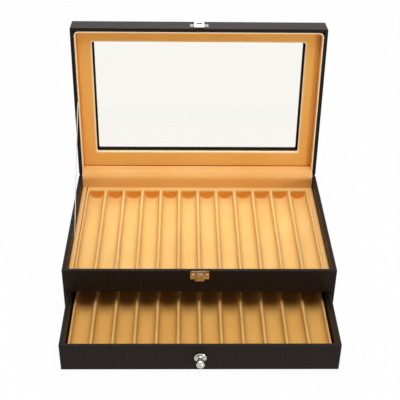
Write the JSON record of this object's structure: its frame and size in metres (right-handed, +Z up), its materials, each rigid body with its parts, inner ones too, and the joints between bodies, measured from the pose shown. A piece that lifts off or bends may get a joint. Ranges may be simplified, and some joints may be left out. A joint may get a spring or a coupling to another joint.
{
  "type": "pen collector chest",
  "caption": "Low covered-board chest for pens: slotted velvet tray under a hinged lid with a glass window, slotted drawer below, nickel hasp, catch and ball knob.",
  "frame": {"origin": "middle of the case's underside, where it rests on a table", "axes": "+Z up; -Y is the front, where the drawer comes out; +X to the right of someone facing the front"},
  "size_m": [0.335, 0.3671, 0.2945],
  "materials": {
    "leatherette": "black embossed leatherette over board",
    "velvet": "camel velvet over card",
    "flocked_insert": "camel flock on a formed sheet",
    "board": "fibreboard faced with black paper",
    "felt": "black felt",
    "cord": "white braided cord",
    "glass": "clear float glass",
    "nickel": "bright nickel plate on pressed steel"
  },
  "bodies": {
    "case": {"base_felt": "felt", "case_back_wall": "leatherette", "case_base_board": "board", "case_front_rail": "leatherette", "case_hinge_screws": "nickel", "case_left_wall": "leatherette", "case_right_wall": "leatherette", "catch_plate": "nickel", "catch_screws": "nickel", "hinge_left_case_leaf": "nickel", "hinge_left_pin": "nickel", "hinge_right_case_leaf": "nickel", "hinge_right_pin": "nickel", "hinge_tape_case": "velvet", "lid_stay_cord": "cord", "tray_insert": "flocked_insert", "tray_left_strip": "velvet", "tray_right_strip": "velvet", "tray_shelf": "board"},
    "lid": {"glass_retainer": "board", "hasp_pin": "nickel", "hasp_plate": "nickel", "hasp_screws": "nickel", "hinge_left_lid_leaf": "nickel", "hinge_right_lid_leaf": "nickel", "hinge_tape_lid": "velvet", "lid_back_wall": "leatherette", "lid_front_wall": "leatherette", "lid_hinge_screws": "nickel", "lid_left_wall": "leatherette", "lid_liner": "velvet", "lid_panel": "leatherette", "lid_right_wall": "leatherette", "lined_frame": "velvet", "window_glass": "glass"},
    "drawer": {"drawer_back": "leatherette", "drawer_bottom": "board", "drawer_front": "leatherette", "drawer_insert": "flocked_insert", "drawer_knob": "nickel", "drawer_left": "leatherette", "drawer_right": "leatherette", "knob_rosette": "nickel", "knob_screw": "nickel"},
    "hasp": {"hasp_flap": "nickel"}
  },
  "joints": [
    {"name": "lid_hinge", "type": "hinge", "parent": "case", "child": "lid", "pos_m": [0, 0.1079, 0.0766], "axis": [1, 0, 0], "range_deg": [0, 93.7], "deforming": ["lid_stay_cord"]},
    {"name": "drawer_slide", "type": "slide", "parent": "case", "child": "drawer", "axis": [0, -1, 0], "range_m": [-0.0946, 0.0554]},
    {"name": "hasp_hinge", "type": "hinge", "parent": "lid", "child": "hasp", "pos_m": [0, 0.1243, 0.29299], "axis": [1, 0, 0], "range_deg": [0, 173]}
  ]
}
